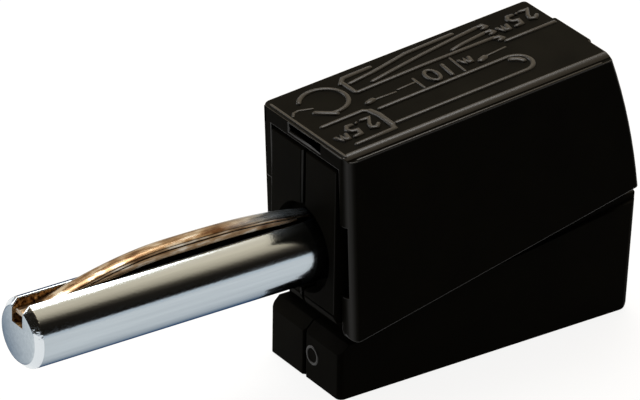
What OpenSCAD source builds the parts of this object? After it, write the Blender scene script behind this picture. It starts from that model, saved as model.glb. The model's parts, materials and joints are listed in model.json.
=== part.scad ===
// Banana plug with a spring clamp: a slotted 4 mm pin with a bowed contact leaf, a two-part inner body
// that holds the clamp, and a cap that rocks on two side bosses to open it.
// Frame: the origin is on the pin axis in the plane of the body's front face, X runs to the wire end, Z is up.

/* [Contact pin] */
// Diameter of the contact pin
pin_d = 4; // [3.4:0.1:4.8]
// Length of the pin in front of the body
pin_reach = 18.1; // [15:0.1:22]
// Chamfer at the tip of the pin
pin_chamfer = 0.4; // [0.2:0.05:0.6]
// Width of the slot along the top of the pin
slot_w = 1.05; // [0.8:0.05:1.4]
// Height of the slot's floor above the pin axis
slot_floor = 0.6; // [0.3:0.05:0.8]
// Depth of the slot behind the body's front face
slot_inset = 0.45; // [0.2:0.05:0.8]
// Diameter of the collar that holds the pin in the body
collar_d = 5.4; // [5:0.1:5.8]
// Thickness of the collar
collar_t = 0.8; // [0.7:0.1:1.2]
// Depth of the collar behind the front face
collar_inset = 1.8; // [1.6:0.1:2.2]
// Diameter of the rivet shank at the rear of the pin
rivet_d = 2; // [1.6:0.1:2.2]
// Diameter of the spread rivet head
rivet_head_d = 2.8; // [2.5:0.1:3.2]
// Thickness of the rivet head
rivet_head_t = 0.45; // [0.3:0.05:0.6]

/* [Contact leaf] */
// Thickness of the leaf
leaf_t = 0.28; // [0.2:0.02:0.36]
// Gap between the leaf and each wall of the slot
leaf_side_gap = 0.05; // [0.02:0.01:0.1]
// Depth of the leaf's front end behind the tip of the pin
leaf_inset = 0.15; // [0.1:0.05:0.4]
// Length of the straight root in the slot
leaf_root_l = 1.1; // [0.8:0.1:1.6]
// Depth of the root's upper face below the pin's surface
leaf_root_drop = 0.55; // [0.4:0.05:0.7]
// Height of the bow above the pin's surface
leaf_bow = 0.9; // [0.6:0.05:1.1]
// Distance of the highest point from the front face
leaf_peak = 8.6; // [7:0.1:10]
// Reach of the free end into the recess round the pin
leaf_reach = 0.2; // [0:0.05:0.3]
// Length of the tapered free end
leaf_taper_l = 1.6; // [1:0.1:2.2]
// Width of the free end
leaf_end_w = 0.5; // [0.3:0.05:0.7]

/* [Inner body] */
// Width of the inner body inside the cap
body_w = 6.3; // [6.1:0.1:6.6]
// Step from there out to the wider foot on each side
foot_step = 0.27; // [0.2:0.01:0.34]
// Height of the front head above the pin axis
head_rise = 5.97; // [5.4:0.01:6.5]
// Length of the front head along the pin
head_l = 2.6; // [2:0.1:3.4]
// Step from the head down to the side walls
top_step = 1.2; // [0.8:0.1:1.6]
// Thickness of the floor under the wire
floor_t = 2.2; // [1.8:0.1:2.8]
// Height of the foot block under the head
block_h = 3.35; // [3:0.05:3.4]
// Set-back of the foot block from the front face
block_set = 0.24; // [0.1:0.02:0.4]
// Length of the bevel at the foot block's upper front edge
block_bevel_l = 0.6; // [0.3:0.05:0.9]
// Height of that bevel
block_bevel_h = 0.58; // [0.3:0.02:0.8]
// Height of the groove between the foot block and the head
groove_h = 1.35; // [1.1:0.05:1.6]
// Depth of that groove
groove_depth = 1.5; // [1.2:0.1:1.8]
// Height of the bevel at the head's lower edge
head_bevel = 0.52; // [0.3:0.02:0.6]
// Depth of that bevel
head_bevel_depth = 0.2; // [0.1:0.02:0.4]
// Width of the line scored above that bevel
score_w = 0.12; // [0.06:0.02:0.2]
// Depth of that line
score_depth = 0.08; // [0.04:0.01:0.12]
// Radius of the head's upright edges
head_edge_r = 0.2; // [0.1:0.05:0.3]
// Radius of the foot block's upright edges
block_corner_r = 0.4; // [0.2:0.05:0.6]
// Diameter of the recess round the pin
recess_d = 5.16; // [5:0.02:5.6]
// Depth of the recess round the pin
recess_depth = 0.9; // [0.6:0.05:1.1]
// Wall behind the pin's collar
front_wall_t = 0.7; // [0.6:0.05:1]
// Wall behind the clamp
rear_wall_t = 1; // [0.8:0.1:1.4]
// Length of the wire tunnel behind the clamp
tunnel_l = 4.9; // [4.2:0.1:5.4]
// Roof of the wire tunnel
tunnel_roof = 0.95; // [0.7:0.05:1.3]
// Lean of the rear face
rear_lean = 2.7; // [1.5:0.1:5]
// Radius of the rear lower edge
heel_r = 0.7; // [0.4:0.1:1]
// Radius of the rear upright edges
rear_corner_r = 0.6; // [0.3:0.1:0.8]
// Height of the foot's upper edge above the tunnel's axis, at the rear face
foot_rise = 2.58; // [2:0.02:2.58]
// Slope of the foot's upper edge, on which the pressed cap comes down
foot_slope = 8.4; // [8.4:0.1:9.4]
// Distance from the front face to the point where that edge falls away under the skirt
foot_knee = 5; // [4.8:0.1:6]
// Gap between the two halves at the seam
seam_gap = 0.24; // [0.1:0.02:0.3]
// Bevel of the seam's edges in front
seam_bevel = 0.13; // [0.06:0.01:0.2]
// Diameter of the pegs that locate the halves
peg_d = 1.2; // [0.9:0.1:1.4]
// Length of the pegs
peg_l = 1.6; // [1.2:0.1:2]

/* [Wire clamp] */
// Diameter of the wire entry
wire_d = 4; // [3.4:0.1:4.4]
// Widening of the wire entry at the rear face
wire_funnel = 0.4; // [0.2:0.05:0.5]
// Distance from the bar's underside down to the axis of the wire entry
wire_drop = 1.4; // [1.2:0.1:1.8]
// Thickness of the current bar
bar_t = 0.7; // [0.5:0.05:0.9]
// Width of the bar where it passes the spring's window
bar_w = 2.8; // [2.4:0.1:3]
// Width of the bar's upright plate
plate_w = 3.8; // [3.4:0.1:4]
// Height of the upright plate above the pin axis
plate_rise = 2.2; // [1.8:0.1:2.6]
// Inside radius of the bar's bend
bar_bend_r = 0.35; // [0.2:0.05:0.4]
// Length of the bar behind the spring's window leg
bar_tail = 0.7; // [0.5:0.1:0.8]
// Thickness of the spring strip
spring_t = 0.4; // [0.3:0.05:0.5]
// Width of the spring strip
spring_w = 4.2; // [4:0.1:4.4]
// Radius of the spring's front loop
loop_r = 2.2; // [1.9:0.1:2.4]
// Rise of the spring's upper leg
leg_rise = 10; // [6:1:13]
// Distance from the loop's centre to the window leg
leg_l = 7.2; // [6.6:0.1:8]
// Radius of the spring's rear bend
rear_bend_r = 0.8; // [0.6:0.1:1]
// Height of the window's lower rung
rung_h = 0.9; // [0.7:0.1:1.1]
// Gap between the bar and the window's sides
window_gap = 0.15; // [0.1:0.05:0.2]

/* [Press cap] */
// Gap between the inner body and the cap's side walls
cap_gap = 0.1; // [0.06:0.01:0.14]
// Thickness of the side walls
cap_wall = 0.83; // [0.75:0.02:1]
// Thickness of the top
cap_top_t = 0.93; // [0.9:0.01:1.2]
// Gap between the head and the top, with the cap square to the body
cap_top_gap = 0.3; // [0.28:0.02:0.4]
// Thickness of the rear wall
cap_rear_t = 1; // [0.8:0.1:1.2]
// Set-back of the cap from the front face
cap_set = 0.29; // [0.2:0.01:0.4]
// Slope of the top, rising to the rear
cap_slope = 2.65; // [2:0.05:4]
// Distance from the pin axis down to the skirt's front corner
skirt_drop = 4.35; // [3.9:0.05:4.35]
// Slope of the skirt's lower edge
skirt_slope = 10.4; // [10.4:0.1:11.4]
// Radius of the skirt's lower front corner
skirt_corner_r = 0.6; // [0.3:0.1:0.9]
// Radius of the curved rear face
cap_rear_r = 37.6; // [30:0.2:44]
// Distance of that curve's centre below the pin axis
cap_rear_drop = 4.2; // [3:0.1:5]
// Distance from the body's rear face forward to the cap's rear
cap_short = 0.4; // [0.2:0.02:0.6]
// Radius of the rear upright edges
cap_corner_r = 0.25; // [0.2:0.05:0.6]
// Radius of the left front upright edge
cap_edge_r = 0.4; // [0.2:0.05:0.6]
// Radius of the right front upright edge
right_edge_r = 0.7; // [0.4:0.05:0.8]
// Length of the bevel at the front of the top
brow_l = 0.4; // [0.2:0.05:0.6]
// Drop of that bevel
brow_h = 0.09; // [0.05:0.01:0.12]
// Width of the ledge along the right side of the top
ledge_w = 0.2; // [0.1:0.02:0.4]
// Depth of that ledge
ledge_h = 0.3; // [0.2:0.02:0.4]
// Radius of the shoulder above it
shoulder_r = 0.65; // [0.5:0.05:0.9]
// Distance of the ledge's end from the cap's rear
ledge_end = 1.4; // [1:0.1:2]
// Distance from the pin axis up to the lower edge of the rear wall
rear_open = 1.1; // [0.9:0.1:1.5]
// Width of the raised strip on the rear face
strip_w = 3.4; // [2.8:0.1:4]
// Height of the raised strip
strip_h = 0.15; // [0.08:0.01:0.2]
// Side shift of the raised strip
strip_y = -0.25; // [-0.4:0.05:0.4]
// Width of the tool slot
blade_w = 2.95; // [2.6:0.05:3.4]
// Height of the tool slot
blade_h = 0.45; // [0.4:0.01:0.5]
// Depth of the tool slot
blade_depth = 5; // [3.5:0.5:6]
// Wall above the tool slot
blade_roof = 0.19; // [0.17:0.01:0.24]

/* [Rocker] */
// Distance of the rocking axis behind the front face
pivot_x = 3.9; // [3.5:0.1:4.3]
// Height of the rocking axis above the pin axis
pivot_z = 0.7; // [0.3:0.1:1.1]
// Diameter of the side bosses
boss_d = 4.2; // [3.6:0.1:4.6]
// Height of the bosses inside the cap's walls
boss_grip = 0.35; // [0.25:0.05:0.4]
// Gap round each boss
boss_gap = 0.07; // [0.04:0.01:0.1]
// Gap in front of each boss
boss_end_gap = 0.12; // [0.08:0.02:0.16]
// Depth of the lead-in groove at the front edge
ramp_mouth = 0.55; // [0.48:0.01:0.6]
// Depth of the lead-in groove next to the boss
ramp_end = 0.2; // [0.1:0.02:0.24]
// Angle by which the cap stands up from its square position
cap_tilt = 2.5; // [1.5:0.1:3]
// Width of the press rib under the top
rib_w = 3; // [2.4:0.1:3.6]
// Radius of the press rib's nose
rib_r = 0.7; // [0.5:0.05:0.9]
// Distance from the window leg forward to the press rib
rib_inset = 2; // [1.9:0.1:2.6]
// Gap between the press rib and the spring
press_gap = 0.1; // [0.06:0.02:0.16]

/* [Hidden] */
$fn = 64;
plastic = "#1c1b1a";
nickel = "#b9bcbe";
bronze = "#b08a4a";
copper = "#c8c4bb";
steel = "#9a9da0";
// Overlap of cutting tools past the faces that they cut
over = 1;
// Reach of a rounding cutter past the faces that it runs out on
run_out = 0.01;
// Running gap of turned metal in the moulded body
turn_gap = 0.03;
// Slack of metal strip beside moulded walls
strip_gap = 0.15;
// Gap between the rivet head and the bar's bend
head_gap = 0.05;
// Gap between the rivet head and the spring's loop
loop_gap = 0.3;
far = 60;
pin_r = pin_d / 2;

// Heights, counted from the pin axis
bar_top_z = -rivet_head_d / 2 - bar_bend_r - head_gap;
bar_low_z = bar_top_z - bar_t;
wire_z = bar_low_z - wire_drop;
floor_z = wire_z - wire_d / 2;
base_z = floor_z - floor_t;
sill_z = wire_z + wire_d / 2 + tunnel_roof;
block_top_z = base_z + block_h;
head_low_z = block_top_z + groove_h;
wall_top_z = head_rise - top_step;

// Lengths, counted from the front face
chamber_x = collar_inset + collar_t + front_wall_t;
plate_back_x = chamber_x + bar_t;
loop_x = plate_back_x + rivet_head_t + loop_gap + loop_r + spring_t / 2;
leg_x = loop_x + leg_l;
chamber_end_x = leg_x + spring_t / 2 + bar_tail + strip_gap;
chamber_w = spring_w + 2 * strip_gap;
body_l = chamber_end_x + tunnel_l;
wall_end_x = chamber_end_x + rear_wall_t;
bar_end_x = leg_x + spring_t / 2 + bar_tail;

// Spring path: lower leg on the bar, front loop, rising upper leg, rear bend and window leg
leg_z = bar_top_z + spring_t / 2;
loop_z = leg_z + loop_r;
leg_start = [loop_x - loop_r * sin(leg_rise), loop_z + loop_r * cos(leg_rise)];
bend_x = leg_x - rear_bend_r;
leg_run = bend_x - rear_bend_r * sin(leg_rise) - leg_start[0];
bend_z = leg_start[1] + leg_run * tan(leg_rise) - rear_bend_r * cos(leg_rise);
rung_gap = 0.02;

// Cap sizes that follow the inner body
foot_w = body_w + 2 * foot_step;
cap_in_w = body_w + 2 * cap_gap;
cap_w = cap_in_w + 2 * cap_wall;
cap_top_z = head_rise + cap_top_gap + cap_top_t;
cap_rear_x = body_l - cap_short;
boss_h = cap_gap + boss_grip;
pocket_depth = boss_grip + boss_end_gap;
rib_x = leg_x - rib_inset;
rib_z = leg_start[1] + (rib_x - leg_start[0]) * tan(leg_rise) + (spring_t / 2 + press_gap + rib_r) / cos(leg_rise);

// Points on an arc round c, from angle a to angle b
function arc(c, r, a, b, n = 8) =
    [for (i = [0:n]) c + r * [cos(a + (b - a) * i / n), sin(a + (b - a) * i / n)]];

function reversed(list) = [for (i = [len(list) - 1:-1:0]) list[i]];

// Plate of width w across Y, with its outline drawn in X and Z
module across(w) {
    translate([0, w / 2, 0])
        rotate([90, 0, 0])
            linear_extrude(w)
                children();
}

// Shape that lies along X, drawn along Z
module along(x) {
    translate([x, 0, 0])
        rotate([0, 90, 0])
            children();
}

module both_sides() {
    children();
    mirror([0, 1, 0])
        children();
}

// Cutter that leaves a round upright edge of radius r at the corner x, y = w / 2 of a front face
module edge_cutter(x, w, r, low, high) {
    translate([x, w / 2, low])
        rotate([0, 0, -90])
            linear_extrude(high - low)
                polygon(concat([[-over, -over], [r, -over]], arc([r, r], r + run_out, 270, 180), [[-over, r]]));
}

// Cutter that bevels the front edge at x of the half beside the seam
module seam_cutter(x, low, high) {
    translate([x, seam_gap / 2, low])
        linear_extrude(high - low)
            polygon([[-over, -over], [seam_bevel + over, -over], [-over, seam_bevel + over]]);
}

// Side outline of the inner body, from the front lower corner round by the rear
function body_outline() =
    let (toe_x = body_l - (sill_z - base_z) * tan(rear_lean), score_z = head_low_z + head_bevel)
    concat(
        [[block_set, base_z]],
        arc([toe_x - heel_r, base_z + heel_r], heel_r, 270, 360 - rear_lean),
        [[body_l, sill_z], [wall_end_x, sill_z], [wall_end_x, wall_top_z]],
        [[head_l + top_step, wall_top_z], [head_l, head_rise], [0, head_rise]],
        [[0, score_z + score_w / 2], [score_depth, score_z], [0, score_z - score_w / 2]],
        [[head_bevel_depth, head_low_z], [groove_depth, head_low_z]],
        [[groove_depth, block_top_z]],
        [[block_set + block_bevel_l, block_top_z], [block_set, block_top_z - block_bevel_h]]
    );

// Height of the foot's upper edge at x: the line of the pressed skirt, and in front that of the skirt at rest
function foot_z(x) =
    wire_z + foot_rise + (max(x, foot_knee) - body_l) * tan(foot_slope)
    + min(x - foot_knee, 0) * tan(skirt_slope + cap_tilt);

// Solid form of the half on the +Y side of the seam, with its boss
module half_form() {
    difference() {
        translate([0, foot_w / 2, 0])
            rotate([90, 0, 0])
                linear_extrude((foot_w - seam_gap) / 2)
                    polygon(body_outline());
        translate([0, (body_w + far) / 2, 0])
            across(far)
                polygon([
                    [-over, foot_z(-over)],
                    [foot_knee, foot_z(foot_knee)],
                    [body_l + over, foot_z(body_l + over)],
                    [body_l + over, head_rise + over],
                    [-over, head_rise + over]
                ]);
        edge_cutter(0, body_w, head_edge_r, head_low_z, head_rise + over);
        edge_cutter(block_set, foot_w, block_corner_r, base_z - over, block_top_z + over);
        seam_cutter(0, head_low_z - run_out, head_rise + over);
        seam_cutter(block_set, base_z - over, block_top_z + run_out);
        translate([body_l, 0, sill_z])
            rotate([0, rear_lean, 0])
                mirror([1, 0, 0])
                    edge_cutter(0, foot_w, rear_corner_r, base_z - sill_z - over, over);
    }
    translate([pivot_x, body_w / 2 - over / 2, pivot_z])
        rotate([-90, 0, 0])
            cylinder(h = boss_h + over / 2, d = boss_d);
}

// Seats of the pin, the bar, the spring and the wire
module body_hollows() {
    along(-over)
        cylinder(h = chamber_x + 2 * over, r = pin_r + turn_gap);
    along(-over)
        cylinder(h = recess_depth + over, d = recess_d);
    along(collar_inset - turn_gap)
        cylinder(h = collar_t + 2 * turn_gap, d = collar_d + 2 * turn_gap);
    translate([chamber_x, -chamber_w / 2, floor_z])
        cube([chamber_end_x - chamber_x, chamber_w, far]);
    translate([0, 0, wire_z]) {
        along(chamber_end_x - over)
            cylinder(h = tunnel_l + 2 * over, d = wire_d);
        along(body_l - 2 * wire_funnel)
            cylinder(h = 2 * wire_funnel + over, d1 = wire_d, d2 = wire_d + 2 * wire_funnel + over);
    }
}

// Pegs in the floor, at the seam
module pegs(d, reach) {
    for (x = [groove_depth + peg_d, chamber_end_x - peg_d])
        translate([x, 0, base_z + floor_t / 2])
            rotate([90, 0, 0])
                cylinder(h = reach, d = d);
}

// The half of the inner body on the +Y side of the seam
module body_half() {
    difference() {
        half_form();
        body_hollows();
    }
}

module body_left() {
    color(plastic) {
        body_half();
        translate([0, seam_gap, 0])
            pegs(peg_d, peg_l + seam_gap);
    }
}

module body_right() {
    color(plastic)
        difference() {
            mirror([0, 1, 0])
                body_half();
            pegs(peg_d + 2 * turn_gap, peg_l + 2 * turn_gap);
        }
}

// Turned pin: tip, shaft, collar, shoulder, rivet shank and head, with the slot milled along its top
module contact_pin() {
    color(nickel)
        difference() {
            along(0)
                rotate_extrude()
                    polygon([
                        [0, -pin_reach],
                        [pin_r - pin_chamfer, -pin_reach],
                        [pin_r, -pin_reach + pin_chamfer],
                        [pin_r, collar_inset],
                        [collar_d / 2, collar_inset],
                        [collar_d / 2, collar_inset + collar_t],
                        [pin_r, collar_inset + collar_t],
                        [pin_r, chamber_x],
                        [rivet_d / 2, chamber_x],
                        [rivet_d / 2, plate_back_x],
                        [rivet_head_d / 2, plate_back_x],
                        [rivet_head_d / 2, plate_back_x + rivet_head_t],
                        [0, plate_back_x + rivet_head_t]
                    ]);
            translate([-pin_reach - over, -slot_w / 2, slot_floor])
                cube([pin_reach + over + slot_inset, slot_w, pin_d]);
        }
}

// Upper face of the leaf: a straight root, a quick rise to the peak, and a long fall to the free end
leaf_front_x = -pin_reach + leaf_inset;
leaf_rise_x = leaf_front_x + leaf_root_l;
leaf_root_z = pin_r - leaf_root_drop;
leaf_peak_z = pin_r + leaf_bow;
function leaf_z(x) = x < -leaf_peak
    ? leaf_root_z + (leaf_peak_z - leaf_root_z) * sin(90 * (x - leaf_rise_x) / (-leaf_peak - leaf_rise_x))
    : leaf_peak_z - leaf_bow * pow((x + leaf_peak) / (leaf_peak + leaf_reach), 3);

// The leaf's upper face as points, lowered by drop
function leaf_line(drop, n = 36) = concat(
    [[leaf_front_x, leaf_root_z - drop]],
    [for (i = [0:n]) let (x = leaf_rise_x + (leaf_reach - leaf_rise_x) * i / n) [x, leaf_z(x) - drop]]
);

module contact_leaf() {
    leaf_w = slot_w - 2 * leaf_side_gap;
    color(bronze)
        intersection() {
            across(leaf_w)
                polygon(concat(leaf_line(0), reversed(leaf_line(leaf_t))));
            translate([0, 0, -pin_d])
                linear_extrude(3 * pin_d)
                    polygon([
                        [-far, -leaf_w],
                        [leaf_reach - leaf_taper_l, -leaf_w / 2],
                        [leaf_reach, -leaf_end_w / 2],
                        [leaf_reach, leaf_end_w / 2],
                        [leaf_reach - leaf_taper_l, leaf_w / 2],
                        [-far, leaf_w]
                    ]);
        }
}

// Bent strip: an upright plate on the pin's rivet, and a run to the rear under the spring
module current_bar() {
    bend_r = bar_bend_r + bar_t;
    bend_c = [chamber_x + bend_r, bar_low_z + bend_r];
    color(copper)
        difference() {
            across(plate_w)
                polygon(concat(
                    [[chamber_x, plate_rise]],
                    arc(bend_c, bend_r, 180, 270),
                    [[bar_end_x, bar_low_z], [bar_end_x, bar_top_z]],
                    arc(bend_c, bar_bend_r, 270, 180),
                    [[plate_back_x, plate_rise]]
                ));
            along(chamber_x - over)
                cylinder(h = bar_t + 2 * over, d = rivet_d + 2 * turn_gap);
            both_sides()
                translate([bend_c[0], bar_w / 2, bar_low_z - over])
                    cube([far, far, bar_t + 2 * over]);
        }
}

// The spring's middle line, moved outwards by o
function spring_line(o) = concat(
    [[leg_x - spring_t - strip_gap, leg_z - o]],
    arc([loop_x, loop_z], loop_r + o, 270, 90 + leg_rise, 24),
    arc([bend_x, bend_z], rear_bend_r + o, 90 + leg_rise, 0, 10),
    [[leg_x + o, bar_low_z - rung_gap - rung_h]]
);

module clamp_spring() {
    window_w = bar_w + 2 * window_gap;
    color(steel)
        difference() {
            across(spring_w)
                polygon(concat(spring_line(spring_t / 2), reversed(spring_line(-spring_t / 2))));
            translate([leg_x - spring_t, -window_w / 2, bar_low_z - rung_gap])
                cube([2 * spring_t, window_w, bar_t + 3 * spring_t]);
        }
}

// Height of the cap's top, or of a plane under it, at x
function top_z(x, under = 0) = cap_top_z - under + (x - cap_set) * tan(cap_slope);

// Disc whose rim is the curved rear face
module rear_disc(r, w, edge) {
    translate([cap_rear_x - cap_rear_r, 0, -cap_rear_drop])
        rotate([90, 0, 0])
            rotate_extrude($fn = 128)
                polygon(concat(
                    [[0, -w / 2]],
                    arc([r - edge, edge - w / 2], edge, 270, 360, 6),
                    arc([r - edge, w / 2 - edge], edge, 0, 90, 6),
                    [[0, w / 2]]
                ));
}

// Side outline of the cap, open-ended at the rear where the disc bounds it
module cap_outline() {
    tail_x = cap_rear_x + over;
    skirt_z = -skirt_drop + (tail_x - cap_set) * tan(skirt_slope);
    corner_z = -skirt_drop + skirt_corner_r * (tan(skirt_slope) + 1 / cos(skirt_slope));
    polygon(concat(
        [[cap_set, cap_top_z - brow_h], [cap_set + brow_l, top_z(cap_set + brow_l)]],
        [[tail_x, top_z(tail_x)], [tail_x, skirt_z]],
        arc([cap_set + skirt_corner_r, corner_z], skirt_corner_r, 270 + skirt_slope, 180, 6)
    ));
}

// Solid form of the cap, square to the body
module cap_form() {
    shoulder_rise = shoulder_r - ledge_h;
    shoulder_y = ledge_w - cap_w / 2 + sqrt(pow(shoulder_r, 2) - pow(shoulder_rise, 2));
    shoulder_turn = 180 - asin(shoulder_rise / shoulder_r);
    difference() {
        intersection() {
            across(cap_w)
                cap_outline();
            rear_disc(cap_rear_r, cap_w, cap_corner_r);
        }
        translate([cap_set, 0, cap_top_z])
            rotate([0, -cap_slope, 0])
                translate([-over, 0, 0])
                    rotate([90, 0, 90])
                        linear_extrude(over + cap_rear_x - cap_set - ledge_end)
                            polygon(concat(
                                [[-cap_w, over], [-cap_w, -ledge_h]],
                                arc([shoulder_y, -shoulder_r], shoulder_r + run_out, shoulder_turn, 90, 6),
                                [[shoulder_y, over]]
                            ));
        edge_cutter(cap_set, cap_w, cap_edge_r, -skirt_drop - over, cap_top_z + over);
        mirror([0, 1, 0])
            edge_cutter(cap_set, cap_w, right_edge_r, -skirt_drop - over, cap_top_z + over);
    }
    translate([0, strip_y, 0])
        intersection() {
            across(strip_w)
                cap_outline();
            rear_disc(cap_rear_r + strip_h, strip_w, strip_h);
        }
}

// Space inside the cap: open in front, below, and at the rear under the rear wall
module cap_hollow() {
    tail_x = cap_rear_x + cap_rear_r;
    intersection() {
        across(cap_in_w)
            polygon([
                [-over, top_z(-over, cap_top_t)],
                [tail_x, top_z(tail_x, cap_top_t)],
                [tail_x, -far],
                [-over, -far]
            ]);
        union() {
            rear_disc(cap_rear_r - cap_rear_t, cap_w, cap_corner_r);
            translate([-over, -cap_w, rear_open - far])
                cube([far, 2 * cap_w, far]);
        }
    }
    translate([cap_set, -blade_w / 2, cap_top_z - blade_roof - blade_h])
        rotate([0, -cap_slope, 0])
            translate([-over, 0, 0])
                cube([blade_depth + over, blade_w, blade_h]);
}

// Round pockets for the bosses, with grooves that lead in from the front
module boss_seats() {
    seat_d = boss_d + 2 * boss_gap;
    mouth = cap_in_w / 2 + ramp_mouth;
    translate([pivot_x, 0, pivot_z])
        across(cap_in_w + 2 * pocket_depth)
            circle(d = seat_d);
    translate([0, 0, pivot_z - seat_d / 2])
        linear_extrude(seat_d)
            polygon([
                [cap_set - over, -mouth],
                [cap_set, -mouth],
                [pivot_x, -cap_in_w / 2 - ramp_end],
                [pivot_x, cap_in_w / 2 + ramp_end],
                [cap_set, mouth],
                [cap_set - over, mouth]
            ]);
}

// Turns the cap up about the rocking axis to its rest position
module at_rest() {
    translate([pivot_x, 0, pivot_z])
        rotate([0, -cap_tilt, 0])
            translate([-pivot_x, 0, -pivot_z])
                children();
}

module press_cap() {
    color(plastic) {
        at_rest()
            difference() {
                cap_form();
                cap_hollow();
                boss_seats();
            }
        intersection() {
            at_rest()
                cap_form();
            union() {
                translate([rib_x - rib_r, -rib_w / 2, rib_z])
                    cube([2 * rib_r, rib_w, far]);
                translate([rib_x, 0, rib_z])
                    across(rib_w)
                        circle(r = rib_r);
            }
        }
    }
}

body_left();
body_right();
contact_pin();
contact_leaf();
current_bar();
clamp_spring();
press_cap();
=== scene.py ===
# Banana plug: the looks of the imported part, in metres, in the part's own frame.
# The pin points along -X, Z is up, and the origin is on the pin axis at the body's front face.
import json
from math import asin, cos, pi, radians, sin, sqrt

import bmesh
import bpy
from mathutils import Matrix, Vector

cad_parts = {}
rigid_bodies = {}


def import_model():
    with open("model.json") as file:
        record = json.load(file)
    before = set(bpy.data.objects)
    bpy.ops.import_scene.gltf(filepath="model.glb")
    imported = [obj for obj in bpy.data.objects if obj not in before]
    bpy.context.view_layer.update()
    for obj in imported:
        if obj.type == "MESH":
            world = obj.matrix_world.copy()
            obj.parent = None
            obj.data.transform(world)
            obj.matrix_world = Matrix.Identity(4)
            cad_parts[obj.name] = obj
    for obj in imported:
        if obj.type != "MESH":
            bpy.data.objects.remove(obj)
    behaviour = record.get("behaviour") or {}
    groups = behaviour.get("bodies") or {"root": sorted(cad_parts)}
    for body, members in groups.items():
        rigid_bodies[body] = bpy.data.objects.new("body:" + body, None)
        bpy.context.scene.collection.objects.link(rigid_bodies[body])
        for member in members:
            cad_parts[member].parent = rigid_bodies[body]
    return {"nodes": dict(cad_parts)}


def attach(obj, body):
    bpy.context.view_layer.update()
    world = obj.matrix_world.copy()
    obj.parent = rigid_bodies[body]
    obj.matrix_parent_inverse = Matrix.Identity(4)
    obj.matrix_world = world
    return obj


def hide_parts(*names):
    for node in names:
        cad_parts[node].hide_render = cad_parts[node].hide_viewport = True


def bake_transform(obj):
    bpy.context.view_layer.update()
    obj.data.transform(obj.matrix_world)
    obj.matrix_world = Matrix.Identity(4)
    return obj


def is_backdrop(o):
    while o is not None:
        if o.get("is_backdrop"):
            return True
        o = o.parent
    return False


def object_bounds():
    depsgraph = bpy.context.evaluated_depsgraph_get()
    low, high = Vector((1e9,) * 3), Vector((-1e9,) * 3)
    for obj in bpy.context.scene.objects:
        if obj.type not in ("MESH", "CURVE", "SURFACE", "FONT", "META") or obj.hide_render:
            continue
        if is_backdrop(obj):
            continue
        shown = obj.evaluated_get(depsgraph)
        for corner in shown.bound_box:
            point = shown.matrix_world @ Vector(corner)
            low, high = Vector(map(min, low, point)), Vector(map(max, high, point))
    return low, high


for leftover in list(bpy.data.objects):
    bpy.data.objects.remove(leftover)
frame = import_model()
cad_low, cad_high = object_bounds()

# Contact pin: a brass bar of 4 mm, turned, plated with bright nickel, then slotted along its top on a saw.
# It is held in the body by its collar, and its rear end is riveted to the current bar.
MM = 0.001
pin_r = 2.0
pin_tip_x = -18.1
tip_chamfer = 0.4
tip_round = 0.05
slot_half = 0.525
slot_floor_z = 0.6
slot_end_x = 0.45
slot_lip_r = 0.07
# The pin behind its slot, as X and radius: collar, shank and rivet head.
pin_rear = [
    (1.8, 2.0), (1.8, 2.7), (2.6, 2.7), (2.6, 2.0), (3.3, 2.0),
    (3.3, 1.0), (4.0, 1.0), (4.0, 1.4), (4.45, 1.4),
]
round_steps = 160
lip_steps = 5
crown_steps = 6
touch = 0.001


def linear(code):
    """An sRGB hex colour as linear RGBA."""
    parts = [int(code[i:i + 2], 16) / 255 for i in (1, 3, 5)]
    return [c / 12.92 if c <= 0.04045 else ((c + 0.055) / 1.055) ** 2.4 for c in parts] + [1.0]


def put(tree, kind, inputs=(), stops=(), **settings):
    """Adds a node, with its settings, its input values or links, and the stops of a colour ramp."""
    made = tree.nodes.new(kind)
    for name, value in settings.items():
        setattr(made, name, value)
    for name, value in dict(inputs).items():
        if isinstance(value, bpy.types.NodeSocket):
            tree.links.new(value, made.inputs[name])
        else:
            made.inputs[name].default_value = value
    for i, (place, colour) in enumerate(stops):
        stop = made.color_ramp.elements[i] if i < 2 else made.color_ramp.elements.new(place)
        stop.position = place
        stop.color = colour
    return made


def new_material(name):
    """An empty node material, its tree, and its object coordinates."""
    made = bpy.data.materials.new(name)
    made.use_nodes = True
    made.node_tree.nodes.clear()
    place = put(made.node_tree, "ShaderNodeTexCoord")
    return made, made.node_tree, place.outputs["Object"]


def noise(tree, place, size_mm, detail):
    """The value of a noise texture whose blots are about size_mm across."""
    made = put(tree, "ShaderNodeTexNoise", {"Vector": place, "Scale": 1 / (size_mm * MM), "Detail": detail})
    return made.outputs["Fac"]


def surface(tree, inputs):
    """The principled shader and the output that end a material's tree."""
    made = put(tree, "ShaderNodeBsdfPrincipled", inputs)
    put(tree, "ShaderNodeOutputMaterial", {"Surface": made.outputs[0]})


def new_piece(name, shape, material, body, slot, *nodes):
    """A mesh piece from a bmesh in millimetres.

    It rides on a body, if one is given, and may stand for CAD nodes.
    """
    bmesh.ops.recalc_face_normals(shape, faces=shape.faces)
    bmesh.ops.scale(shape, vec=(MM, MM, MM), verts=shape.verts)
    mesh = bpy.data.meshes.new(name)
    shape.to_mesh(mesh)
    shape.free()
    mesh.materials.append(material)
    made = bpy.data.objects.new(name, mesh)
    bpy.context.scene.collection.objects.link(made)
    if body:
        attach(made, body)
    if nodes:
        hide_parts(*nodes)
    return made


def smooth(made, angle):
    """Smooth shading that breaks at edges sharper than the angle."""
    made.data.shade_smooth()
    made.data.set_sharp_from_angle(angle=radians(angle))


def ring_of(shape, x, points):
    """Vertices of a ring in the plane at x, from its Y and Z points."""
    return [shape.verts.new((x, y, z)) for y, z in points]


def skin(shape, rings):
    """Quads between rings that follow each other."""
    for a, b in zip(rings, rings[1:]):
        for i in range(len(a)):
            j = (i + 1) % len(a)
            shape.faces.new((a[i], a[j], b[j], b[i]))


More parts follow.
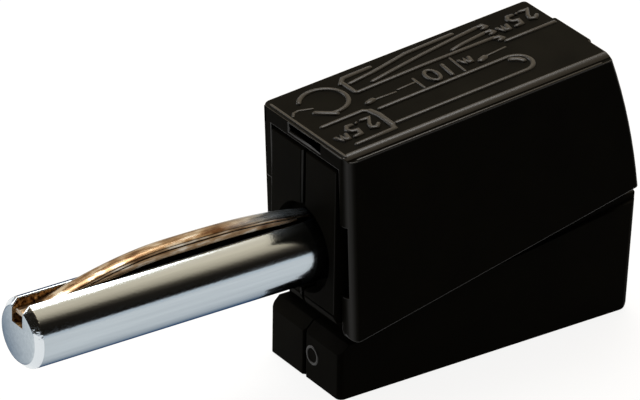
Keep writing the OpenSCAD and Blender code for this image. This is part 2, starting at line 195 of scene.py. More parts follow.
def on_circle(c, r, start, end, steps):
    """Y and Z points on an arc about c, with angles in degrees from +Z towards -Y."""
    turns = [radians(start + (end - start) * i / steps) for i in range(steps + 1)]
    return [(c[0] - r * sin(t), c[1] + r * cos(t)) for t in turns]


def pin_section(r):
    """The round outer side of the slotted pin at radius r, with its lips, and the points of its slot."""
    lip_y = slot_half + slot_lip_r
    lip_z = sqrt((r - slot_lip_r) ** 2 - lip_y ** 2)
    lean = asin(lip_y / (r - slot_lip_r)) * 180 / pi
    near_lip = on_circle((-lip_y, lip_z), slot_lip_r, -90, lean, lip_steps)
    far_lip = on_circle((lip_y, lip_z), slot_lip_r, -lean, 90, lip_steps)
    outer = near_lip + on_circle((0, 0), r, lean, 360 - lean, round_steps)[1:-1] + far_lip
    return outer, [(slot_half, slot_floor_z), (-slot_half, slot_floor_z)]


shape = bmesh.new()
tip_rings = []
face_r = pin_r - tip_chamfer
for x, r in [
    (0, face_r - tip_round),
    (tip_round * 0.3, face_r),
    (tip_round * 1.3, face_r + tip_round),
    (tip_chamfer - tip_round, pin_r - tip_round),
    (tip_chamfer, pin_r - tip_round * 0.3),
    (tip_chamfer + tip_round, pin_r),
]:
    outer, slot = pin_section(r)
    tip_rings.append(ring_of(shape, pin_tip_x + x, outer + slot))
outer, slot = pin_section(pin_r)
slot_ring = ring_of(shape, slot_end_x, outer + slot)
skin(shape, tip_rings + [slot_ring])
shape.faces.new(tip_rings[0])
across = [-slot_half * (1 - i / crown_steps) for i in range(1, 2 * crown_steps)]
crown = [(y, sqrt(pin_r ** 2 - y ** 2)) for y in across]
crown_ring = ring_of(shape, slot_end_x, crown)
shape.faces.new(slot_ring[-2:] + slot_ring[:1] + crown_ring + [slot_ring[len(outer) - 1]])
round_ring = slot_ring[:len(outer)] + crown_ring[::-1]
spread = []
for v in round_ring:
    reach = Vector((v.co.y, v.co.z)).length
    spread.append((v.co.y / reach, v.co.z / reach))
rear_rings = [ring_of(shape, x, [(y * r, z * r) for y, z in spread]) for x, r in pin_rear]
skin(shape, [round_ring] + rear_rings)
shape.faces.new(rear_rings[-1])

# Bright nickel on turned brass: mirror-like, with a faint pebbled skin, and fine lengthwise rubs
# from the socket. Its dark blue edge tint is painted shade: it darkens the reflection at grazing angles.
pebble_mm = 0.13
rub_mm = 0.25
nickel, tree, place = new_material("bright nickel plate on turned brass")
pebbles = noise(tree, place, pebble_mm, 2.0)
length = put(tree, "ShaderNodeMapping", {"Vector": place, "Scale": (0.03, 1, 1)})
rubs = noise(tree, length.outputs[0], rub_mm, 4.0)
gloss = put(tree, "ShaderNodeMapRange", {"Value": rubs, "To Min": 0.07, "To Max": 0.2})
tone = put(
    tree, "ShaderNodeValToRGB", {"Fac": rubs},
    stops=[(0.3, linear("#aeb8bf")), (0.75, linear("#bac4cb"))],
)
bumps = put(tree, "ShaderNodeBump", {"Height": pebbles, "Strength": 0.4, "Distance": 0.006 * MM})
surface(
    tree,
    {
        "Base Color": tone.outputs["Color"],
        # Painted shade: the dark blue tint darkens the reflection at grazing angles, as along the pin's lower
        # edge.
        "Specular Tint": linear("#1f4068"),
        "Metallic": 1.0,
        "Roughness": gloss.outputs["Result"],
        "Normal": bumps.outputs["Normal"],
    },
)

# Sawn brass in the slot, cut after plating: brown gold, rough from the saw, with darker patches of tarnish.
# Behind the slot's front it is painted nearly black: painted shade under the leaf.
saw_mm = 0.2
shade_from_x = -15.8
shade_full_x = -13.8
brass, tree, place = new_material("sawn brass")
cut = noise(tree, place, saw_mm, 3.0)
tone = put(
    tree, "ShaderNodeValToRGB", {"Fac": cut},
    stops=[(0.38, linear("#4a2e18")), (0.62, linear("#dcb67e"))],
)
# Painted shade under the leaf: the slot's colour darkens to nearly black towards the rear.
along = put(tree, "ShaderNodeSeparateXYZ", {"Vector": place})
leaf_shade = put(
    tree, "ShaderNodeMapRange",
    {"Value": along.outputs["X"], "From Min": shade_from_x * MM, "From Max": shade_full_x * MM, "To Max": 0.92},
)
shaded_brass = put(
    tree, "ShaderNodeMix",
    {"Factor": leaf_shade.outputs["Result"], "A": tone.outputs["Color"], "B": linear("#1c130c")},
    data_type="RGBA",
)
teeth = put(tree, "ShaderNodeBump", {"Height": cut, "Strength": 0.3, "Distance": 0.01 * MM})
surface(
    tree,
    {
        "Base Color": shaded_brass.outputs["Result"],
        "Metallic": 1.0,
        "Roughness": 0.5,
        "Normal": teeth.outputs["Normal"],
    },
)

# Nickel plate on the chamfer, dented by use, and lighter than the rest: a painted highlight for the glints it
# catches.
dent_mm = 0.35
painted_glint, tree, place = new_material("burnished nickel plate")
dented = noise(tree, place, dent_mm, 2.0)
dents = put(tree, "ShaderNodeBump", {"Height": dented, "Strength": 0.6, "Distance": 0.08 * MM})
surface(
    tree,
    {"Base Color": linear("#d6dde2"), "Metallic": 1.0, "Roughness": 0.16, "Normal": dents.outputs["Normal"]},
)
for face in shape.faces:
    middle = face.calc_center_median()
    in_slot = abs(middle.y) <= slot_half + touch and slot_floor_z - touch < middle.z < pin_r
    if in_slot and pin_tip_x + touch < middle.x < slot_end_x - touch:
        face.material_index = 1
    elif pin_tip_x + tip_round < middle.x < pin_tip_x + tip_chamfer + tip_round:
        face.material_index = 2
pin = new_piece("pin", shape, nickel, "housing", "nickel_plated_brass", "contact_pin")
pin.data.materials.append(brass)
pin.data.materials.append(painted_glint)
smooth(pin, 32)

# Contact leaf: a strip of spring bronze, blanked, bowed and pressed into the pin's slot at the tip.
# It stands proud of the pin and yields in the socket. A shorter strip below it stiffens the bow.
leaf_t = 0.28
leaf_half_w = 0.475
leaf_end_half_w = 0.4
leaf_edge_r = 0.025
leaf_top_r = 0.1
leaf_top_turn = 70
leaf_corner_steps = 4
leaf_crown = 0.08
leaf_crown_w = 0.8
leaf_crown_steps = 5
leaf_front_x = -17.95
leaf_rise_x = -16.85
leaf_peak_x = -8.6
leaf_end_x = 0.2
leaf_taper_x = -1.4
leaf_root_z = 1.45
leaf_peak_z = 2.9
leaf_end_z = 2.26
leaf_steps = 110
under_t = 0.36
under_end_t = 0.14
under_gap = 0.06
under_sink = 0.02
under_swell = 0.4
under_front_x = -16.4
under_end_x = -0.7


def leaf_top(x):
    """Height of the leaf's upper face: straight root, quick rise to the peak, long fall to the free end."""
    if x < leaf_rise_x:
        return leaf_root_z
    if x < leaf_peak_x:
        rise = (x - leaf_rise_x) / (leaf_peak_x - leaf_rise_x)
        return leaf_root_z + (leaf_peak_z - leaf_root_z) * sin(pi / 2 * rise)
    fall = (x - leaf_peak_x) / (leaf_end_x - leaf_peak_x)
    return leaf_peak_z - (leaf_peak_z - leaf_end_z) * fall ** 3


def leaf_section(half_w, thick, top_r, crown):
    """Rounded section of a strip, across Y and down from the crown of its upper face."""
    points = []
    for side, low, start in [(-1, False, 90 - leaf_top_turn), (-1, True, 90), (1, True, 180), (1, False, 270)]:
        r = leaf_edge_r if low else top_r
        drop = thick - r if low else crown + r
        turn = 90 if low else leaf_top_turn
        points += on_circle((side * (half_w - r), -drop), r, start, start + turn, leaf_corner_steps)
    across = [leaf_crown_w * (1 - i / leaf_crown_steps) for i in range(1, 2 * leaf_crown_steps)]
    return points + [(half_w * a, -crown * a ** 2) for a in across]


shape = bmesh.new()
rings = []
under_rings = []
for i in range(leaf_steps + 1):
    x = leaf_front_x + (leaf_end_x - leaf_front_x) * i / leaf_steps
    taper = max(0, (x - leaf_taper_x) / (leaf_end_x - leaf_taper_x))
    half_w = leaf_half_w + (leaf_end_half_w - leaf_half_w) * taper
    section = leaf_section(half_w, leaf_t, leaf_top_r, leaf_crown)
    rings.append(ring_of(shape, x, [(y, z + leaf_top(x)) for y, z in section]))
    x = under_front_x + (under_end_x - under_front_x) * i / leaf_steps
    bulge = sin(pi * i / leaf_steps) ** under_swell
    low = leaf_top(x) - leaf_t + under_sink - (under_sink + under_gap) * bulge
    section = leaf_section(leaf_half_w, under_end_t + (under_t - under_end_t) * bulge, leaf_edge_r, 0)
    under_rings.append(ring_of(shape, x, [(y, z + low) for y, z in section]))
for strip in (rings, under_rings):
    skin(shape, strip)
    shape.faces.new(strip[0])
    shape.faces.new(strip[-1])

# Rolled spring bronze: dull gold with lengthwise rolling lines, browner where it has tarnished.
# Towards the free end its upward faces are painted silvery blue-grey: a painted reflection.
rolling_mm = 0.12
tarnish_mm = 0.5
reflection_from_x = -5.5
reflection_full_x = -1.0
bronze, tree, place = new_material("rolled spring bronze")
length = put(tree, "ShaderNodeMapping", {"Vector": place, "Scale": (0.02, 1, 1)})
rolled = noise(tree, length.outputs[0], rolling_mm, 3.0)
drawn = put(tree, "ShaderNodeMapping", {"Vector": place, "Scale": (0.4, 1, 1)})
cloudy = noise(tree, drawn.outputs[0], tarnish_mm, 4.0)
shade = put(tree, "ShaderNodeMix", {"Factor": 0.35, "A": cloudy, "B": rolled})
tone = put(
    tree, "ShaderNodeValToRGB", {"Fac": shade.outputs["Result"]},
    stops=[(0.36, linear("#4e3622")), (0.64, linear("#bfb8ab")), (0.5, linear("#877055"))],
)
along = put(tree, "ShaderNodeSeparateXYZ", {"Vector": place})
reflection_along = put(
    tree, "ShaderNodeMapRange",
    {"Value": along.outputs["X"], "From Min": reflection_from_x * MM, "From Max": reflection_full_x * MM, "To Max": 0.9},
)
# Painted reflection: towards the free end, faces that point up turn silvery blue-grey.
facing = put(tree, "ShaderNodeNewGeometry")
upward = put(tree, "ShaderNodeSeparateXYZ", {"Vector": facing.outputs["Normal"]})
reflection_on_top = put(
    tree, "ShaderNodeMath", {0: reflection_along.outputs["Result"], 1: upward.outputs["Z"]},
    operation="MULTIPLY", use_clamp=True,
)
painted_reflection = put(
    tree, "ShaderNodeMix",
    {"Factor": reflection_on_top.outputs[0], "A": tone.outputs["Color"], "B": linear("#aebfce")},
    data_type="RGBA",
)
gloss = put(tree, "ShaderNodeMapRange", {"Value": rolled, "To Min": 0.18, "To Max": 0.36})
lines = put(tree, "ShaderNodeBump", {"Height": rolled, "Strength": 0.2, "Distance": 0.004 * MM})
surface(
    tree,
    {
        "Base Color": painted_reflection.outputs["Result"],
        "Metallic": 1.0,
        "Roughness": gloss.outputs["Result"],
        "Normal": lines.outputs["Normal"],
    },
)
leaf = new_piece("leaf", shape, bronze, "leaf", "spring_bronze", "contact_leaf")
smooth(leaf, 40)

# Current bar: a bent copper strip with tin plate, punched for the pin's rivet.
# The wire is clamped against its underside.
# Tin plate: pale, slightly clouded, with a soft sheen.
tin_mm = 0.5
tinned, tree, place = new_material("tin plate on copper strip")
cloudy = noise(tree, place, tin_mm, 3.0)
tone = put(
    tree, "ShaderNodeValToRGB", {"Fac": cloudy},
    stops=[(0.35, linear("#bdb9b0")), (0.7, linear("#d8d5cd"))],
)
gloss = put(tree, "ShaderNodeMapRange", {"Value": cloudy, "To Min": 0.28, "To Max": 0.45})
surface(
    tree,
    {"Base Color": tone.outputs["Color"], "Metallic": 1.0, "Roughness": gloss.outputs["Result"]},
)
frame["nodes"]["current_bar"].data.materials.clear()
frame["nodes"]["current_bar"].data.materials.append(tinned)

# Clamp spring: a strip of spring steel, bent in a loop, whose window leg pulls the wire up against the bar.
# It lies on the bar inside the body. The cap's rib presses its upper leg and window leg down, which bends the
# loop;
# here it is cut through its rear bend, the part behind riding on the cap and the loop staying still.
weld_mm = 0.001
spring_split_x = 13.9


def spring_part(front):
    """The CAD spring in front of or behind a cut through its rear bend, closed there."""
    shape = bmesh.new()
    shape.from_mesh(frame["nodes"]["clamp_spring"].data)
    bmesh.ops.scale(shape, vec=(1 / MM, 1 / MM, 1 / MM), verts=shape.verts)
    bmesh.ops.remove_doubles(shape, verts=shape.verts, dist=weld_mm)
    bmesh.ops.bisect_plane(
        shape, geom=shape.verts[:] + shape.edges[:] + shape.faces[:], dist=weld_mm / 10,
        plane_co=(spring_split_x, 0, 0), plane_no=(1, 0, 0), clear_outer=front, clear_inner=not front,
    )
    bmesh.ops.holes_fill(shape, edges=[e for e in shape.edges if e.is_boundary], sides=0)
    return shape


# Rolled spring steel: grey, with a dull sheen and fine lines along the strip.
steel, tree, place = new_material("rolled spring steel")
length = put(tree, "ShaderNodeMapping", {"Vector": place, "Scale": (0.05, 1, 0.05)})
rolled = noise(tree, length.outputs[0], rolling_mm, 3.0)
tone = put(
    tree, "ShaderNodeValToRGB", {"Fac": rolled},
    stops=[(0.3, linear("#8d9094")), (0.7, linear("#b3b6b9"))],
)
gloss = put(tree, "ShaderNodeMapRange", {"Value": rolled, "To Min": 0.22, "To Max": 0.4})
surface(
    tree,
    {"Base Color": tone.outputs["Color"], "Metallic": 1.0, "Roughness": gloss.outputs["Result"]},
)
spring_loop = new_piece("spring_loop", spring_part(True), steel, None, "spring_steel", "clamp_spring")
smooth(spring_loop, 35)
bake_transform(spring_loop)
spring_leg = new_piece("spring_leg", spring_part(False), steel, "cap", "spring_steel", "clamp_spring")
smooth(spring_leg, 35)

# Inner body: two halves moulded in black polyamide, which close round the pin and the clamp at a middle seam.
# They are located by pegs and held together by the cap.
body_edge_r = 0.04
lip_r = 0.1
edge_segments = 3
edge_deg = 28
flat_deg = 0.4
hollow_deg = 0.5
satin_deg = 8
highlight_deg = 20 / 3
highlight_lean = 0.1
highlight_rise = 0.6
dull_z = -4.6
seam_half = 0.125
seam_front_x = 1.0
seam_shut = 0.07
seam_reach = 2.1 * seam_half
main_axes = [Vector(a) for a in ((1, 0, 0), (-1, 0, 0), (0, 1, 0), (0, -1, 0), (0, 0, 1), (0, 0, -1))]


def moulded(name, node, edge_r, body, fit, lips, edges):
    """The CAD node's form with its outer edges rounded, as a mould gives them.

    The function fit may move a point, and the function lips picks edges for a wider rounding.
    Faces have material 0, the grain, 1, the given edges, or 2, the satin roundings.
    """
    shape = bmesh.new()
    shape.from_mesh(frame["nodes"][node].data)
    bmesh.ops.scale(shape, vec=(1 / MM, 1 / MM, 1 / MM), verts=shape.verts)
    bmesh.ops.remove_doubles(shape, verts=shape.verts, dist=weld_mm)
    bmesh.ops.dissolve_limit(
        shape, angle_limit=radians(flat_deg), verts=shape.verts, edges=shape.edges
    )
    for v in shape.verts:
        v.co = fit(*v.co)
    wide = [e for e in shape.edges if e.is_manifold and all(lips(*v.co) for v in e.verts)]
    bmesh.ops.bevel(
        shape, geom=wide, offset=lip_r, offset_type="OFFSET", segments=edge_segments,
        profile=0.5, affect="EDGES", clamp_overlap=True, material=1,
    )
    sharp = [
        e for e in shape.edges
        if e.is_manifold and e.calc_face_angle_signed() > radians(edge_deg)
        and not any(f.material_index for f in e.link_faces)
        and not all(abs(v.co.y) < seam_half and v.co.z < dull_z for v in e.verts)
    ]
    bmesh.ops.bevel(
        shape, geom=sharp, offset=edge_r, offset_type="OFFSET", segments=edge_segments,
        profile=0.5, affect="EDGES", clamp_overlap=False, material=1,
    )
    bmesh.ops.dissolve_degenerate(shape, dist=weld_mm / 2, edges=shape.edges)
    shape.normal_update()
    for face in shape.faces:
        slant = min(face.normal.angle(axis, 0) for axis in main_axes)
        hollow = min(e.calc_face_angle_signed(0) for e in face.edges) < -radians(hollow_deg)
        if face.material_index or hollow or face.calc_center_median().z < dull_z:
            continue
        # Roundings that lean up towards a side take the edge material; on the cap this is the smooth-edge
        # copy, painted lighter as a highlight band along the shoulders.
        leans_up = abs(face.normal.y) > highlight_lean and face.normal.z > highlight_rise
        if leans_up and slant > radians(highlight_deg):
            face.material_index = 1
        elif slant > radians(satin_deg):
            face.material_index = 2
    made = new_piece(name, shape, matte, body, "black_polyamide", node)
    made.data.materials.append(edges)
    made.data.materials.append(satin)
    smooth(made, 35)
    made.modifiers.new("flat faces stay flat", "WEIGHTED_NORMAL").keep_sharp = True
    return made


def black_polyamide(name, dark, light, rough, sheen, crest_sheen, grain_height):
    """Moulded black polyamide with an eroded grain, whose sheen grows towards the crest of a rounding."""
    made, tree, place = new_material(name)
    grain = noise(tree, place, grain_mm, 3.0)
    cloudy = noise(tree, place, cloud_mm, 2.0)
    tone = put(
        tree, "ShaderNodeValToRGB", {"Fac": cloudy},
        stops=[(0.3, linear(dark)), (0.7, linear(light))],
    )
    gloss = put(
        tree, "ShaderNodeMapRange",
        {"Value": grain, "To Min": rough - rough_swing, "To Max": rough + rough_swing},
    )
    eroded = put(
        tree, "ShaderNodeBump",
        {"Height": grain, "Strength": 0.4, "Distance": grain_height * MM},
    )
    facing = put(tree, "ShaderNodeNewGeometry")
    turned = put(tree, "ShaderNodeVectorMath", {0: facing.outputs["Normal"]}, operation="ABSOLUTE")
    part = put(tree, "ShaderNodeSeparateXYZ", {"Vector": turned.outputs[0]})
    wider = put(tree, "ShaderNodeMath", {0: part.outputs["X"], 1: part.outputs["Y"]}, operation="MAXIMUM")
    widest = put(tree, "ShaderNodeMath", {0: wider.outputs[0], 1: part.outputs["Z"]}, operation="MAXIMUM")
    polish = put(
        tree, "ShaderNodeMapRange",
        {
            "Value": widest.outputs[0],
            "From Min": crest_at,
            "From Max": flat_at,
            "To Min": crest_sheen,
            "To Max": sheen,
        },
        interpolation_type="SMOOTHSTEP",
    )
    surface(
        tree,
        {
            "Base Color": tone.outputs["Color"],
            "Roughness": gloss.outputs["Result"],
            "Specular IOR Level": polish.outputs["Result"],
            "Normal": eroded.outputs["Normal"],
        },
    )
    return made


# Moulded black polyamide: nearly black, slightly warm, with a fine eroded grain that takes most of its sheen.
# Its roundings are satin, and its edges are rubbed smooth, so they catch the light as thin lines.
# The copy for the smooth edges is also lighter in colour: a painted highlight on those lines.
grain_mm = 0.06
cloud_mm = 2.5
rough_swing = 0.08
crest_at = 0.7
flat_at = 0.995
matte = black_polyamide("moulded black polyamide", "#100f0c", "#151410", 0.6, 0.01, 0.01, 0.012)
satin = black_polyamide(
    "moulded black polyamide, satin roundings", "#100f0c", "#151410", 0.5, 0.01, 0.28, 0.008
)
# Smooth edges: glossier than the grain, and painted lighter as a highlight.
rubbed_with_highlight = black_polyamide(
    "moulded black polyamide, smooth edges", "#161511", "#1b1915", 0.34, 0.3, 0.3, 0.004
)
head_rear_x = 2
head_low_z = -3
head_top_z = 5.97
head_half_w = 3.15
top_reach = 0.2
side_reach = 0.02
gap_more = 0.1


def head_fit(x, y, z):
    """Draws the head in a little, so that the gap round it shows, and shuts the seam behind its front."""
    if x < head_rear_x and abs(z - head_top_z) < top_reach:
        z -= gap_more
    if x < head_rear_x and z > head_low_z and abs(abs(y) - head_half_w) < side_reach:
        y -= gap_more if y > 0 else -gap_more
    if x > seam_front_x and abs(y) < seam_half:
        y = 0
    elif z < dull_z and abs(y) < seam_reach:
        y -= seam_shut if y > 0 else -seam_shut
    return (x, y, z)


def no_lip(x, y, z):
    """No edge of the body has a wider rounding."""
    return False


moulded("body_half_left", "body_left", body_edge_r, "housing", head_fit, no_lip, matte)
moulded("body_half_right", "body_right", body_edge_r, "housing", head_fit, no_lip, matte)

# Ejector mark: the plain ring that the mould's ejector pin leaves on the front of the foot block.
# It is raised by a few hundredths of a millimetre and belongs to the body's moulding.
foot_front_x = 0.24
ejector_yz = (-0.78, -6.45)
ejector_r = 0.5
ejector_w = 0.16
ejector_h = 0.05
ridge_steps = 6
ridge_sink = 0.05
mitre_min = 0.6
# How a ridge fades at its ends: steps out, as a share of its width, and the size left there.
end_fade = [(0.45, 0.35), (0.25, 0.8)]


def bow(c, r, start, end, steps=24):
    """Points on an arc about c, with angles in degrees from the first axis towards the second."""
    turns = [radians(start + (end - start) * i / steps) for i in range(steps + 1)]
    return [(c[0] + r * cos(t), c[1] + r * sin(t)) for t in turns]


def ridge(shape, place, points, width, height, loop=False):
    """A rounded ridge along a line on a face.

    The function place turns a point and a height into a position.
    """
    line = [Vector(p) for p in points]
    if loop:
        line = line[:-1]
    rings = []
    count = len(line)
    for i, p in enumerate(line):
        before = line[i - 1] if loop or i else p
        after = line[(i + 1) % count] if loop or i < count - 1 else p
        a = (p - before).normalized() if before != p else (after - p).normalized()
        b = (after - p).normalized() if after != p else a
        mid = (a + b).normalized()
        side = Vector((-mid.y, mid.x)) / max(mitre_min, mid.dot(b))
        stations = [(p, 1.0)]
        if not loop and i == 0:
            stations = [(p - mid * width * out, size) for out, size in end_fade] + stations
        elif not loop and i == count - 1:
            stations += [(p + mid * width * out, size) for out, size in reversed(end_fade)]
        for q, size in stations:
            half = side * width / 2 * size
            turns = [pi * k / ridge_steps for k in range(ridge_steps + 1)]
            section = [place(*(q + half * cos(t)), height * size * sin(t)) for t in turns]
            section += [place(*(q - half), -ridge_sink), place(*(q + half), -ridge_sink)]
            rings.append([shape.verts.new(v) for v in section])
    skin(shape, rings + rings[:1] if loop else rings)
    if not loop:
        shape.faces.new(rings[0])
        shape.faces.new(rings[-1])


def on_foot(y, z, h):
    """A position on the foot block's front, h in front of it."""
    return (foot_front_x - h, y, z)


shape = bmesh.new()
ridge(shape, on_foot, bow(ejector_yz, ejector_r, 0, 360, 40), ejector_w, ejector_h, loop=True)
# The ring takes the smooth-edge copy, painted lighter as a highlight.
smooth(new_piece("ejector_mark", shape, rubbed_with_highlight, "housing", "black_polyamide"), 60)

# Press cap: one black moulding that snaps over the body's side bosses and rocks on them.
# Its front band has a slot for a tool blade.
cap_edge_r = 0.05
slot_low_z = 6.39
slot_half_w = 1.475
slot_rear_x = 0.3
slot_high = 0.6
slot_reach = 0.02
low_lip_reach = 0.08
groove_rear_x = 0.6
groove_low_z = -1.8
groove_high_z = 3.2
groove_mouth_y = 3.8
groove_shut_y = 3.32
groove_reach = 0.03


def cap_fit(x, y, z):
    """Shuts the mouth of the lead-in groove on the left, which the photograph doesn't show."""
    at_mouth = x < groove_rear_x and groove_low_z < z < groove_high_z
    if at_mouth and abs(y - groove_mouth_y) < groove_reach:
        y = groove_shut_y
    return (x, y, z)


def slot_lip(x, y, z):
    """Edges of the tool slot's mouth: the lower one and those at its ends."""
    low = abs(z - slot_low_z) < low_lip_reach and abs(y) < slot_half_w + slot_reach
    end = abs(abs(y) - slot_half_w) < slot_reach and -lip_r < z - slot_low_z < slot_high
    return x < slot_rear_x and (low or end)


# The cap's edges and the lower lip of its tool slot take the smooth-edge copy, painted lighter as a highlight.
cap = moulded("cap", "press_cap", cap_edge_r, "cap", cap_fit, slot_lip, rubbed_with_highlight)
# The photograph shows no light line at the slot's right end, so the lip there keeps the dull grain.
for face in cap.data.polygons:
    x, y, z = face.center / MM
    if x < slot_rear_x and abs(y + slot_half_w) < 2 * lip_r and 0 < z - slot_low_z < slot_high - lip_r:
        face.material_index = 0

# Cap marks: the raised stripping picture, blade picture, arrows and sizes on the cap's top.
# They are moulded with the cap, about a tenth of a millimetre high, and their crests are smooth; their lighter
# colour is a painted highlight.
top_front = Vector((0.010, 4.08, 7.036))
top_lean = radians(5.15)
line_w = 0.32
line_h = 0.11
digit_w = 0.3
digit_h = 0.13
faint_w = 0.18
faint_h = 0.05
bold_w = 0.44
brow_w = 0.15
brow_h = 0.012
ledge_line_w = 0.17
ledge_line_h = 0.07
ledge_side = 7.96
ledge_drop = 0.3


def on_top(u, w, h):
    """A position on the cap's top: u from its front edge, w from its left edge, h above it."""
    along = u * cos(top_lean) - h * sin(top_lean)
    above = u * sin(top_lean) + h * cos(top_lean)
    return top_front + Vector((along, -w, above))


def on_ledge(u, w, h):
    """A position on the ledge along the cap's right top edge: w from the ledge's inner edge."""
    return on_top(u, ledge_side + w, h - ledge_drop)


turn_arrow = bow((2.6, 2.15), 1.36, -149, 106)
wire_lines = [
    [(4.35, 1.2), (4.8, 0.72), (6.65, 0.68)],
    [(4.52, 1.15), (4.5, 2.45)],
    [(4.8, 1.45), (6.6, 1.2), (9.0, 0.68), (12.2, 0.58)],
    [(5.9, 2.05), (7.5, 1.75), (9.6, 1.38), (11.5, 1.12), (13.7, 0.85)],
    [(11.2, 2.05), (12.0, 1.85), (13.7, 1.62)],
    [(4.6, 2.5), (9.0, 2.38), (13.8, 2.38)],
]
strand_ends = [1.02, 1.8, 2.65]
blade_lines = [
    [(4.5, 4.74), (13.1, 4.64)] + bow((13.0, 5.56), 0.92, -75, 75, 14) + [(13.1, 6.47), (4.35, 6.56)],
]
label_frame = [(0.95, 4.4), (3.65, 4.34), (3.92, 4.6), (4.1, 5.3), (4.06, 6.2), (3.95, 6.98), (1.4, 7.08)]
panel_line = [(14.1, 3.12), (17.35, 3.1)]
size_lines = [
    [(4.75, 3.74), (6.2, 3.8)],
    [(6.45, 3.66), (7.7, 3.6)],
    [(7.75, 3.2), (7.7, 4.4)],
    [(10.6, 2.65), (10.45, 4.35)],
    [(12.15, 3.76), (13.65, 3.62)],
]
points_between = [[(16.3, 1.0), (16.2, 1.08)], [(2.66, 5.2), (2.56, 5.28)]]
bold_lines = [
    [(4.35, 3.84), (4.75, 3.72)],
    [(11.72, 4.0), (12.12, 3.82)],
    [(1.55, 2.9), (2.4, 3.68)],
    [(13.05, 4.98), (13.4, 5.2), (13.52, 5.5)],
    [(3.95, 4.6), (4.1, 5.3), (4.04, 6.6)],
]
two = [(0.55, 0.85), (0.3, 1.1), (0.03, 0.98), (0.13, 0.6), (0.5, 0.02), (0.0, 0.0)]
five = [(0.0, 1.15), (0.44, 1.09), (0.52, 0.65), (0.16, 0.6), (0.02, 0.3), (0.2, 0.0), (0.52, 0.03)]
zero_u, zero_w = 8.75, 3.64
zero_half_u, zero_half_w = 0.35, 0.62
unit = [(0.66, 0.0), (0.56, 0.45), (0.36, 0.45), (0.32, 0.05), (0.18, 0.45), (0.0, 0.0)]
digits = [
    (two, (16.52, 0.98)), (five, (15.45, 1.0)), (unit, (14.45, 1.7)),
    (two, (2.98, 5.17)), (five, (1.78, 5.22)), (unit, (0.85, 5.86)),
    (unit, (10.75, 3.28)),
]
shape = bmesh.new()
ridge(shape, on_top, [(0.26, 0.5), (0.24, 7.7)], brow_w, brow_h)
ridge(shape, on_ledge, [(0.75, 0.1), (16.9, 0.1)], ledge_line_w, ledge_line_h)
ridge(shape, on_top, turn_arrow, line_w, line_h)
ridge(shape, on_top, [(0.42, 2.42), (0.65, 2.12), (1.0, 2.06), (1.72, 2.38)], faint_w, faint_h)
for points in wire_lines + blade_lines + [label_frame, panel_line]:
    ridge(shape, on_top, points, line_w, line_h)
for w in strand_ends:
    hook = [(13.7, w - 0.14), (14.02, w - 0.16), (14.12, w + 0.1), (13.85, w + 0.2)]
    ridge(shape, on_top, hook, line_w, digit_h)
for points in size_lines:
    ridge(shape, on_top, points, faint_w, faint_h)
for points in bold_lines:
    ridge(shape, on_top, points, bold_w, digit_h)
for points in points_between:
    ridge(shape, on_top, points, faint_w, digit_h)
for stroke, (u, w) in digits:
    ridge(shape, on_top, [(u + a, w + b) for a, b in stroke], digit_w, digit_h)
zero = [(zero_u + zero_half_u * a, zero_w + zero_half_w * b) for a, b in bow((0, 0), 1, 0, 360, 28)]
ridge(shape, on_top, zero, digit_w, digit_h, loop=True)
ridge(shape, on_top, [(9.8, 3.05), (9.64, 4.3)], digit_w, digit_h)
smooth(new_piece("cap_marks", shape, rubbed_with_highlight, "cap", "black_polyamide"), 60)

# Studio: a pale paper floor under the plug, a soft dome of light that is brighter overhead and behind,
# two softboxes, and a camera with a long lens at the photograph's angle.
floor_z = cad_low.z
floor_half = 1.5
floor_glow = 0.88


def seen(tree):
    """1 for a ray that shows a surface: from the camera, by a reflection or through a clear piece."""
    ray = put(tree, "ShaderNodeLightPath")
    shown = put(
        tree, "ShaderNodeMath",
        {0: ray.outputs["Is Camera Ray"], 1: ray.outputs["Is Glossy Ray"]}, operation="MAXIMUM",
    )
    clear = put(
        tree, "ShaderNodeMath",
        {0: shown.outputs[0], 1: ray.outputs["Is Transmission Ray"]}, operation="MAXIMUM",
    )
    return clear.outputs[0]


# Pale paper: a plain white sheet to the eye, which throws only a little light back on the plug.
paper, tree, place = new_material("pale paper floor")
lift = put(tree, "ShaderNodeMath", {0: seen(tree), 1: floor_glow}, operation="MULTIPLY")
glow = put(tree, "ShaderNodeEmission", {"Color": (1, 1, 1, 1), "Strength": lift.outputs[0]})
matt = put(tree, "ShaderNodeBsdfDiffuse", {"Color": linear("#6a6a6a")})
both = put(tree, "ShaderNodeAddShader", {0: glow.outputs[0], 1: matt.outputs[0]})
put(tree, "ShaderNodeOutputMaterial", {"Surface": both.outputs[0]})
sheet = bpy.data.meshes.new("floor")
sheet.from_pydata(
    [(-floor_half, -floor_half, floor_z), (floor_half, -floor_half, floor_z),
     (floor_half, floor_half, floor_z), (-floor_half, floor_half, floor_z)],
    [], [(0, 1, 2, 3)],
)
sheet.materials.append(paper)
floor = bpy.data.objects.new("floor", sheet)
bpy.context.scene.collection.objects.link(floor)
floor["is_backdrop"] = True

# The dome is brightest in one direction, and the backdrop sweeps up from the floor's far edge.
brightest = Vector((0.45, 0.35, 0.82)).normalized()
dome = bpy.data.worlds.new("soft dome")
dome.use_nodes = True
tree = dome.node_tree
tree.nodes.clear()
place = put(tree, "ShaderNodeTexCoord")
towards = put(
    tree, "ShaderNodeVectorMath",
    {0: place.outputs["Generated"], 1: brightest}, operation="DOT_PRODUCT",
)
soft = put(
    tree, "ShaderNodeValToRGB", {"Fac": towards.outputs["Value"]},
    stops=[
        (0.0, (0.01, 0.008, 0.006, 1)),
        (1.0, (1.2, 1.0, 0.74, 1)),
        (0.3, (0.02, 0.016, 0.012, 1)),
        (0.45, (0.09, 0.072, 0.05, 1)),
        (0.62, (0.72, 0.59, 0.42, 1)),
        (0.8, (1.05, 0.87, 0.63, 1)),
    ],
)
height = put(tree, "ShaderNodeSeparateXYZ", {"Vector": place.outputs["Generated"]})
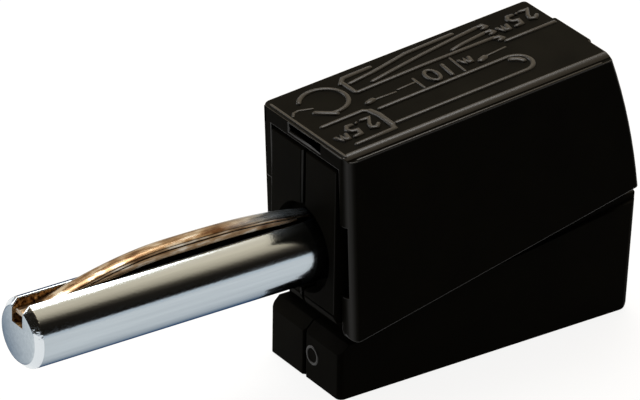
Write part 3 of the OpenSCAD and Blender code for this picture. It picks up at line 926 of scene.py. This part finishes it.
low_sky = put(
    tree, "ShaderNodeValToRGB", {"Fac": height.outputs["Z"]},
    stops=[(0.095, (1, 1, 1, 1)), (0.125, (0, 0, 0, 1))],
)
backdrop = put(
    tree, "ShaderNodeMath", {0: seen(tree), 1: low_sky.outputs["Color"]}, operation="MULTIPLY",
)
swept = put(
    tree, "ShaderNodeMix",
    {"Factor": backdrop.outputs[0], "A": soft.outputs["Color"], "B": (0.9, 0.93, 0.97, 1)},
    data_type="RGBA",
)
light = put(tree, "ShaderNodeBackground", {"Color": swept.outputs["Result"], "Strength": 1.0})
put(tree, "ShaderNodeOutputWorld", {"Surface": light.outputs[0]})
bpy.context.scene.world = dome


def softbox(name, place, width, depth, watts):
    """A rectangular lamp that looks at the plug."""
    lamp = bpy.data.lights.new(name, "AREA")
    lamp.shape = "RECTANGLE"
    lamp.size = width
    lamp.size_y = depth
    lamp.energy = watts
    made = bpy.data.objects.new(name, lamp)
    made.location = place
    made.rotation_euler = Vector(place).to_track_quat("Z", "Y").to_euler()
    bpy.context.scene.collection.objects.link(made)


softbox("overhead softbox", (0.1, 0.2, 0.6), 0.3, 0.3, 2.4)
softbox("rim softbox", (-0.28, 0.44, 0.3), 0.3, 0.3, 1.1)

azimuth = radians(-34.48)
elevation = radians(27.89)
roll = radians(0.858)
camera_mm = 317.09
aim = Vector((1.127, 0, 2.555))
focal_px = 5856.3
image_px = 640
sensor_mm = 36
back = Vector((sin(azimuth) * cos(elevation), -cos(azimuth) * cos(elevation), sin(elevation)))
right = Vector((cos(azimuth), sin(azimuth), 0))
up = back.cross(right)
camera = bpy.data.objects.new("camera", bpy.data.cameras.new("camera"))
bpy.context.scene.collection.objects.link(camera)
camera.data.sensor_width = sensor_mm
camera.data.lens = focal_px / image_px * sensor_mm
camera.data.clip_start = 0.01
camera_x = right * cos(roll) + up * sin(roll)
camera_y = up * cos(roll) - right * sin(roll)
turn = Matrix((camera_x, camera_y, back)).transposed().to_4x4()
camera.matrix_world = Matrix.Translation((aim + back * camera_mm) * MM) @ turn
bpy.context.scene.camera = camera
bpy.context.scene.view_settings.view_transform = "Standard"

low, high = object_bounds()
